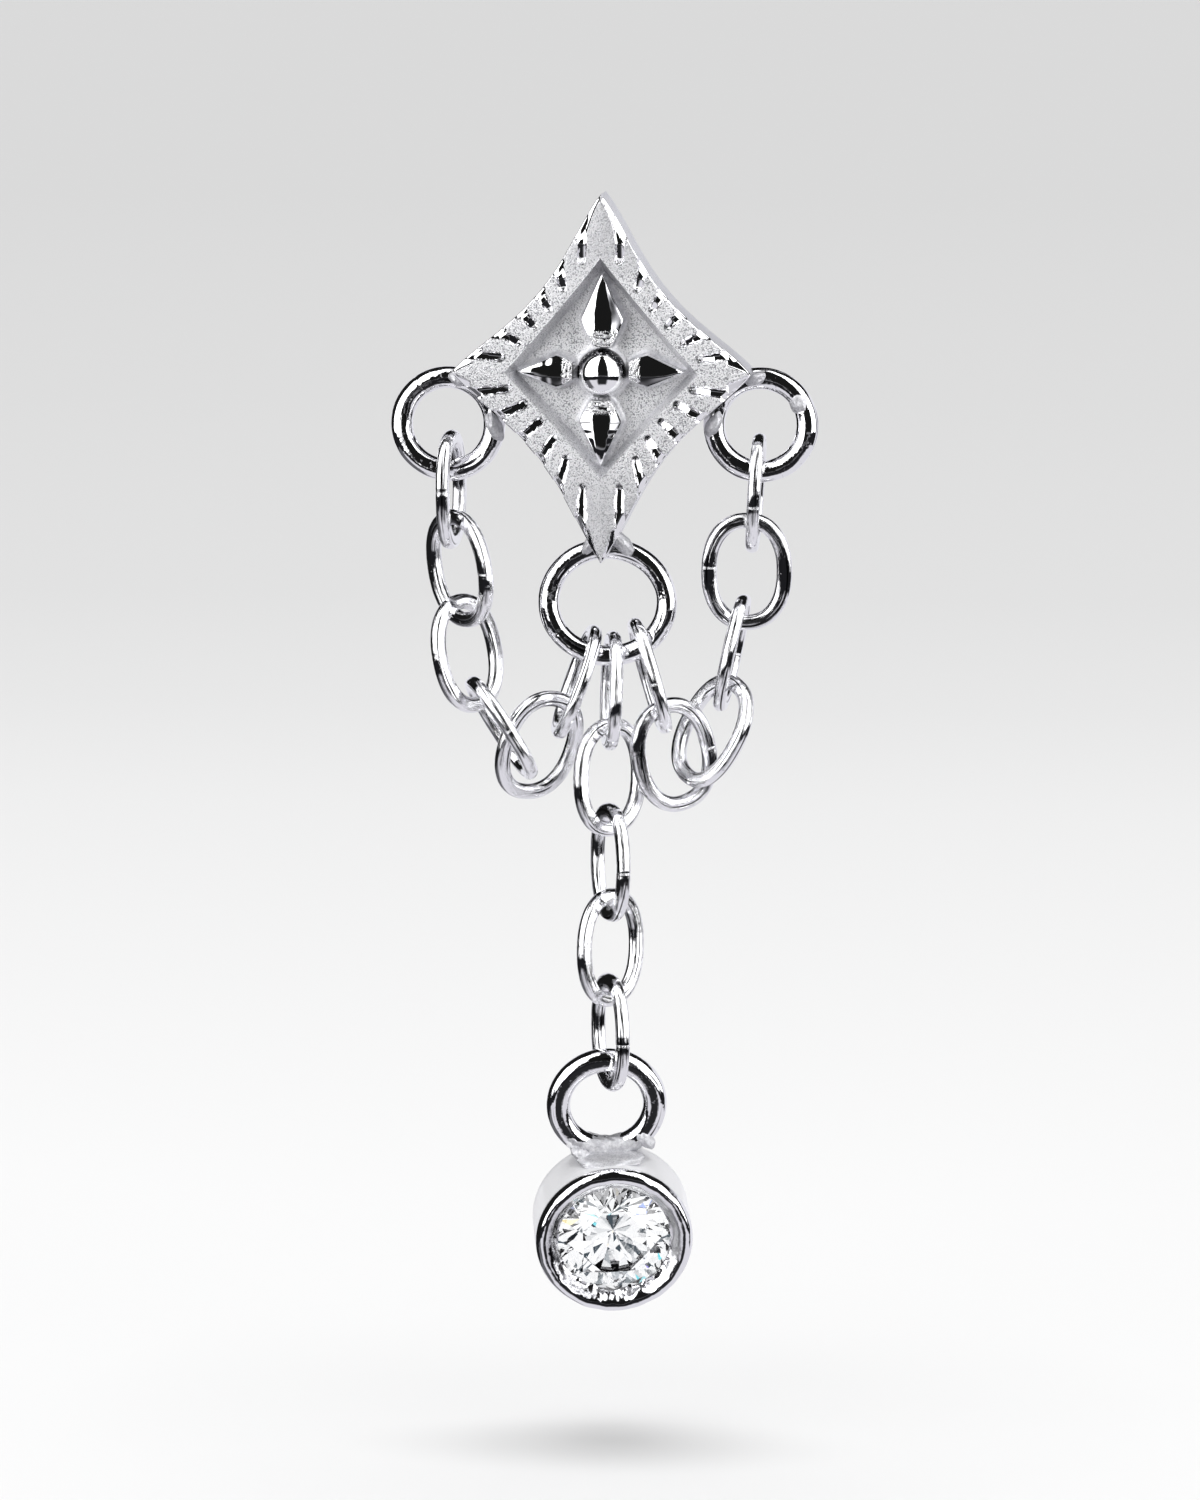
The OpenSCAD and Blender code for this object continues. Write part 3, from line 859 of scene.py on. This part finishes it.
CUP_SECTION = (
    # radius, height over the loop's plane, polish, raggedness, painted shade
    (0.90, -0.335, 0.2, 0, 0),
    (1.52, -0.335, 0.2, 0, 0),
    (1.57, -0.315, 0.3, 0, 0),
    (1.592, -0.265, 0.2, 0, 0),
    (1.595, -0.1, 0.0, 0, 0),
    (1.595, 0.35, 0.0, 0, 0),
    (1.595, 0.90, 0.0, 0, 0),
    (1.594, 0.95, 0.6, 0, 0),
    (1.586, 1.00, 1.0, 0, 0),
    (1.568, 1.05, 1.0, 0, 0),
    (1.542, 1.09, 1.0, 0, 0),
    (1.508, 1.118, 1.0, 0, 0),
    (1.465, 1.134, 1.0, 0, 0),
    (1.42, 1.138, 1.0, 0, 0.1),
    (1.375, 1.128, 1.0, 0.1, 0.5),
    (1.33, 1.103, 0.95, 0.2, 1),
    (1.29, 1.066, 0.85, 0.35, 1),
    (1.25, 1.020, 0.8, 0.5, 1),
    (1.215, 0.975, 0.8, 0.7, 0.9),
    (1.18, 0.942, 0.9, 1.0, 0.6),
    (1.150, 0.925, 1.0, 1.3, 0.2),
    (1.145, 0.90, 0.8, 1.3, 0),
    (1.19, 0.87, 0.2, 0.4, 0),
    (1.23, 0.84, 0.2, 0, 0),
    (1.235, 0.72, 0.2, 0, 0),
    (1.05, 0.56, 0.2, 0, 0),
    (0.90, 0.43, 0.2, 0, 0),
)
CUP_SIDES = 512
cup_rings, cup_shine, cup_film = [], [], []
around = full_turn(CUP_SIDES)
for radius, up, shine, rag, film in CUP_SECTION:
    r, z = np.full(CUP_SIDES, radius), np.full(CUP_SIDES, up)
    for i, t in enumerate(around):
        spot = Vector((math.cos(t), math.sin(t), 0))
        # the lip is most ragged at its bottom
        away = (t + 1.35 + math.pi) % (2 * math.pi) - math.pi
        lower = 0.10 + 0.9 * math.exp(-((away / 0.85) ** 2))
        jag = abs(noise.noise(spot * 4.2 + Vector((0, 0, up * 2))))
        jag += 0.35 * abs(noise.noise(spot * 11 + Vector((3, 0, up * 9))))
        r[i] -= rag * lower * (0.24 * jag - 0.05)
        z[i] += rag * lower * 0.13 * noise.noise(spot * 6 + Vector((0, 4, up * 9)))
        if up > 0.95:
            z[i] -= 0.010 + 0.022 * noise.noise(spot * 3.5 + Vector((5, 0, up)))
            r[i] -= 0.008 + 0.014 * noise.noise(spot * 5 + Vector((0, 8, up)))
    ring = np.stack([r * np.cos(around), -z, r * np.sin(around) - CUP_BELOW], 1)
    cup_rings.append(in_drop(ring) * MM)
    # painted shade: the bevel is painted dark on its left and a little on its right, where it is also
    # brushed
    left = between(-np.cos(around), -0.1, 0.45) * between(-np.sin(around), -0.75, -0.3)
    right = between(np.cos(around), 0.35, 0.75) * between(np.sin(around), -0.75, -0.3)
    cup_shine.append(shine - 0.45 * film * right * shine)
    cup_film.append(film * (left + 0.22 * right))
cup_mesh = ringed_mesh("bezel_cup", cup_rings, loop=True)
mark(cup_mesh, "polish", np.concatenate(cup_shine))
mark(cup_mesh, "film", np.concatenate(cup_film))
turned_out(cup_mesh)
smooth(cup_mesh, 50)
cup_silver, nodes, shader = new_material("cup_silver")
worked = marked(nodes, "polish")
grain = grained(nodes, in_Grain_Size=0.09, in_Dullness=0.6, in_Shine=0.05, in_Polish=worked)
bump = put(nodes, "Bump", in_Strength=0.5, in_Distance=0.000003, in_Height=grain.outputs["Height"])
place = put(nodes, "TexCoord").outputs["Object"]
hammering = mottle(nodes, place, 4200.0, 2.0, 0.55)
hammered = put(nodes, "Bump", in_Strength=0.8, in_Distance=0.000012, in_Height=hammering, in_Normal=bump)
feed(shader, in_Normal=hammered, in_Roughness=grain.outputs["Roughness"])
satin = blend(nodes, worked, (0.96, 0.96, 0.98, 1), (0.95, 0.95, 0.97, 1))
# painted shade: the marked bevel is painted dark, in patches
filmed = marked(nodes, "film")
patches = mottle(nodes, place, 14000.0, 3.0, 0.65)
patchy = spread(nodes, patches, 0.38, 0.58, 0.45, 1.0)
film_left = maths(nodes, "MULTIPLY", filmed, patchy)
dulled = blend(nodes, film_left, satin, (0.13, 0.13, 0.14, 1))
# the side keeps the white skin that the pickle leaves on silver
skin = spread(nodes, worked, 0.0, 0.5, 0.15, 1.0)
feed(shader, in_Base_Color=dulled, in_Metallic=skin)
show(cup_mesh, cup_silver, "drop", ["drop_setting"])

# Stone: a clear round brilliant of 57 facets, held by its girdle in the cup. Table, stars,
# mains and upper girdle facets make its crown, mains and lower girdle facets its pavilion. The
# girdle is ground and left frosted, and the facets keep very faint polishing lines.
STONE_RADIUS, GIRDLE_TOP, GIRDLE_LOW, TABLE_UP, CULET = 1.2, 0.79, 0.745, 1.12, -0.355
stone_points = []


def stone_ring(count, share, up, start):
    """Adds a ring of the stone's corners and gives their numbers."""
    first = len(stone_points)
    for i in range(count):
        t = math.radians(start) + i * 2 * math.pi / count
        stone_points.append((STONE_RADIUS * share * math.cos(t), STONE_RADIUS * share * math.sin(t), up))
    return range(first, first + count)


table = stone_ring(8, 0.58, TABLE_UP, 22.5)
stars = stone_ring(8, 0.79, 0.985, 0)
top_girdle = stone_ring(16, 1.0, GIRDLE_TOP, 0)
low_girdle = stone_ring(16, 1.0, GIRDLE_LOW, 0)
pavilion = stone_ring(8, 0.30, -0.053, 22.5)
tip = len(stone_points)
stone_points.append((0, 0, CULET))
stone_faces = [list(table)]
for i in range(8):
    j = (i + 1) % 8
    g, h, k = 2 * i, 2 * i + 1, (2 * i + 2) % 16
    stone_faces += [
        [table[i - 1], table[i], stars[i]],
        [table[i], stars[i], top_girdle[h], stars[j]],
        [stars[i], top_girdle[g], top_girdle[h]],
        [stars[j], top_girdle[h], top_girdle[k]],
        [low_girdle[h], low_girdle[g], pavilion[i]],
        [low_girdle[k], low_girdle[h], pavilion[i]],
        [low_girdle[k], pavilion[i], tip, pavilion[j]],
    ]
facet_count = len(stone_faces)
for g in range(16):
    h = (g + 1) % 16
    stone_faces.append([top_girdle[g], low_girdle[g], low_girdle[h], top_girdle[h]])
stone_mesh = bpy.data.meshes.new("brilliant")
placed = [in_drop([x, -up, y - CUP_BELOW]) * MM for x, y, up in stone_points]
stone_mesh.from_pydata([tuple(p) for p in placed], [], stone_faces)
frost = stone_mesh.attributes.new("frost", "FLOAT", "FACE")
frost.data.foreach_set("value", [float(n >= facet_count) for n in range(len(stone_faces))])
turned_out(stone_mesh)
clear_stone, nodes, shader = new_material("clear_stone")
feed(shader, in_Metallic=0.0, in_Transmission_Weight=1.0, in_Base_Color=(1, 1, 1, 1), in_IOR=2.2)
frosted = marked(nodes, "frost")
ground = spread(nodes, frosted, 0.0, 1.0, 0.0, 0.35)
place = put(nodes, "TexCoord").outputs["Object"]
laps = mottle(nodes, place, 9000.0, 1.0)
bump = put(nodes, "Bump", in_Strength=0.3, in_Distance=0.0000004, in_Height=laps)
feed(shader, in_Normal=bump, in_Roughness=ground)
show(stone_mesh, clear_stone, "drop", ["drop_stone"])

# Studio: a pale floor under the hanging earring, two tall white panels with dark gaps round the
# camera, and a camera at the photograph's angle. None of it belongs to the object. Its sizes are
# in metres.
AZIMUTH, ELEVATION, AWAY = math.radians(6), math.radians(8), 0.150
AIM = Vector((-0.0000124, -0.0010676, -0.0075459))
back = Vector(
    (
        math.sin(AZIMUTH) * math.cos(ELEVATION),
        -math.cos(AZIMUTH) * math.cos(ELEVATION),
        math.sin(ELEVATION),
    )
)
camera = bpy.data.objects.new("camera", bpy.data.cameras.new("camera"))
bpy.context.scene.collection.objects.link(camera)
camera.location = AIM + back * AWAY
camera.rotation_mode = "QUATERNION"
camera.rotation_quaternion = (-back).to_track_quat("-Z", "Y")
camera.data.sensor_width = 36
camera.data.lens = 180
camera.data.clip_start, camera.data.clip_end = 0.002, 10
bpy.context.scene.camera = camera

FLOOR_AT, FLOOR_REACH = -0.0219, 3.0
floor_mesh = bpy.data.meshes.new("floor")
corners = ((-1, -1), (1, -1), (1, 1), (-1, 1))
places = [(x * FLOOR_REACH, y * FLOOR_REACH, FLOOR_AT) for x, y in corners]
floor_mesh.from_pydata(places, [], [[0, 1, 2, 3]])
floor = bpy.data.objects.new("floor", floor_mesh)
bpy.context.scene.collection.objects.link(floor)
floor.visible_glossy = False
floor.visible_transmission = False
paper = bpy.data.materials.new("floor_paper")
paper.use_nodes = True
nodes = paper.node_tree.nodes
nodes.clear()
floor_mesh.materials.append(paper)
place = put(nodes, "TexCoord").outputs["Object"]
split = put(nodes, "SeparateXYZ", in_0=place)
# painted shade: the floor's colour darkens towards the back
far = spread(nodes, split.outputs["Y"], 0.0, 0.4)
FLOOR_TONES = (
    # share of 400 mm behind the earring, brightness
    (0.0, 0.85),
    (0.062, 0.84),
    (0.13, 0.80),
    (0.22, 0.75),
    (0.28, 0.70),
    (0.36, 0.66),
    (0.57, 0.633),
    (0.95, 0.608),
)
shade = put(nodes, "ValToRGB", in_Fac=far)
ramp = shade.color_ramp.elements
for number, (at, level) in enumerate(FLOOR_TONES):
    stop = ramp[number] if number < 2 else ramp.new(at)
    stop.position, stop.color = at, (level, level, level, 1)
# painted shadow: the floor's colour is darker in a wide soft spot under the drop, wider than one overhead
# light throws
spot = put(nodes, "Mapping", in_Location=(0.02, 0.2, 0), in_Scale=(175, 370, 0), in_Vector=place)
round_spot = put(nodes, "TexGradient", gradient_type="SPHERICAL", in_Vector=spot)
fade = spread(nodes, round_spot.outputs["Fac"], 0.0, 0.9, soft=True)
shaded = blend(nodes, fade, shade, (0.86, 0.86, 0.86, 1), blend_type="MULTIPLY")
matte = put(nodes, "BsdfDiffuse", in_Color=shaded)
clear = put(nodes, "BsdfTransparent")
under = put(nodes, "NewGeometry")
seen = put(nodes, "MixShader", in_Fac=under.outputs["Backfacing"], in_1=matte, in_2=clear)
put(nodes, "OutputMaterial", in_Surface=seen)

overhead = bpy.data.lights.new("overhead", "SUN")
overhead.energy = 2.0
overhead.angle = math.radians(54)
overhead_lamp = bpy.data.objects.new("overhead", overhead)
bpy.context.scene.collection.objects.link(overhead_lamp)
overhead_lamp.visible_glossy = False
overhead_lamp.visible_transmission = False

world = bpy.data.worlds.new("studio")
bpy.context.scene.world = world
world.use_nodes = True
nodes = world.node_tree.nodes
nodes.clear()
looking = put(nodes, "TexCoord").outputs["Generated"]
ray = put(nodes, "SeparateXYZ", in_0=looking)
front = maths(nodes, "MULTIPLY", ray.outputs["Y"], -1.0)
azimuth = maths(nodes, "ARCTAN2", ray.outputs["X"], front)
azimuth_deg = maths(nodes, "DEGREES", azimuth)
elevation = maths(nodes, "ARCSINE", ray.outputs["Z"])
elevation_deg = maths(nodes, "DEGREES", elevation)


def panel_group():
    """How much of a soft-edged panel lies in a direction, from 0 to 1."""
    inputs = ("Azimuth", "Elevation", "Middle", "Half Width", "Rise", "Half Height", "Softness")
    tree, nodes, enter, leave = new_group("light_panel", dict.fromkeys(inputs, 0.0), {"Mask": "Float"})
    masks = []
    for angle, middle, half in (("Azimuth", "Middle", "Half Width"), ("Elevation", "Rise", "Half Height")):
        apart = maths(nodes, "SUBTRACT", enter.outputs[angle], enter.outputs[middle])
        wrapped = maths(nodes, "WRAP", apart, 180.0, -180.0)
        size = maths(nodes, "ABSOLUTE", wrapped)
        inner = maths(nodes, "SUBTRACT", enter.outputs[half], enter.outputs["Softness"])
        outer = maths(nodes, "ADD", enter.outputs[half], enter.outputs["Softness"])
        fade = spread(nodes, size, inner, outer, 1.0, 0.0, soft=True)
        masks.append(fade)
    both = maths(nodes, "MULTIPLY", *masks)
    feed(leave, in_Mask=both)
    return tree


def lit_room(nodes, walls, panels):
    """The colour of a room of panels, each laid over the ones before it."""
    colour = (*walls, 1)
    names = ("in_Middle", "in_Half_Width", "in_Rise", "in_Half_Height", "in_Softness")
    for *sizes, tint in panels:
        sockets = {"in_Azimuth": azimuth_deg, "in_Elevation": elevation_deg, **dict(zip(names, sizes))}
        panel = put(nodes, "Group", node_tree=light_panel, **sockets)
        colour = blend(nodes, panel.outputs["Mask"], colour, (*tint, 1))
    return colour


light_panel = panel_group()
# what the silver mirrors
ROOM = (
    # middle azimuth, half width, middle elevation, half height, softness, colour
    (180, 88, 47, 27, 4, (0.01, 0.01, 0.01)),
    (0, 181, -58, 40, 2, (0.72, 0.71, 0.76)),
    (-105, 46, -40, 20, 5, (0.12, 0.12, 0.13)),
    (8, 24, -34, 16, 6, (0.02, 0.02, 0.022)),
    (-16, 134, -19, 8, 2, (0.012, 0.012, 0.014)),
    (-44, 33, 40, 51, 2, (2.6, 2.6, 2.62)),
    (68, 33, 40, 51, 2, (2.6, 2.6, 2.62)),
    (10, 24, 35, 46, 2, (0.01, 0.01, 0.01)),
    (-113, 36, 30, 46, 3, (0.01, 0.01, 0.01)),
    (109, 10, 30, 46, 3, (0.01, 0.01, 0.01)),
    (0, 181, 92, 14, 2, (2.0, 2.0, 2.02)),
    (10, 46, 82, 9, 2, (0.01, 0.01, 0.01)),
    (-170, 46, 84, 7, 2, (0.01, 0.01, 0.01)),
)
SLATE, DEEP, MIST = (0.085, 0.115, 0.14), (0.02, 0.025, 0.03), (0.40, 0.44, 0.47)
# what the stone's facets show
STONE_ROOM = (
    # middle azimuth, half width, middle elevation, half height, softness, colour
    (0, 181, -66, 30, 4, (1.0, 1.02, 1.05)),
    (15, 3, 4, 14, 1, SLATE),
    (-4, 4.5, -21, 3, 1, SLATE),
    (25, 2.5, -7, 7, 1, SLATE),
    (-16, 6, -42, 7, 1, MIST),
    (12, 12, -28, 4, 1, MIST),
    (8, 40, -12, 1.8, 0.6, SLATE),
    (-46, 7, -26, 8, 1, DEEP),
    (-8, 2, 15, 5, 1, SLATE),
    (-44, 4, 9, 12, 1, SLATE),
    (20, 4, 31, 6, 1, DEEP),
    (-26, 2.5, -5, 18, 1, SLATE),
    (40, 2.5, 0, 30, 1, SLATE),
    (-64, 8, 0, 50, 1, SLATE),
    (74, 6, 0, 50, 1, SLATE),
    (-35, 2, 20, 7, 0.5, (0.20, 0.35, 1.2)),
    (52, 2, 14, 7, 0.5, (0.30, 1.1, 1.25)),
    (40, 2, -24, 6, 0.5, (0.45, 0.35, 1.2)),
    (4, 1.5, 40, 5, 0.5, (1.3, 1.1, 0.6)),
)
room = lit_room(nodes, walls=(0.80, 0.80, 0.85), panels=ROOM)
stone_room = lit_room(nodes, walls=(1.3, 1.31, 1.33), panels=STONE_ROOM)
path = put(nodes, "LightPath")
through = blend(nodes, path.outputs["Is Transmission Ray"], room, stone_room)
fill = blend(nodes, path.outputs["Is Diffuse Ray"], through, (0.40, 0.40, 0.40, 1))
backdrop = blend(nodes, path.outputs["Is Camera Ray"], fill, (0.69, 0.69, 0.69, 1))
sky = put(nodes, "Background", in_Color=backdrop)
put(nodes, "OutputWorld", in_Surface=sky)
bpy.context.scene.view_settings.view_transform = "Standard"
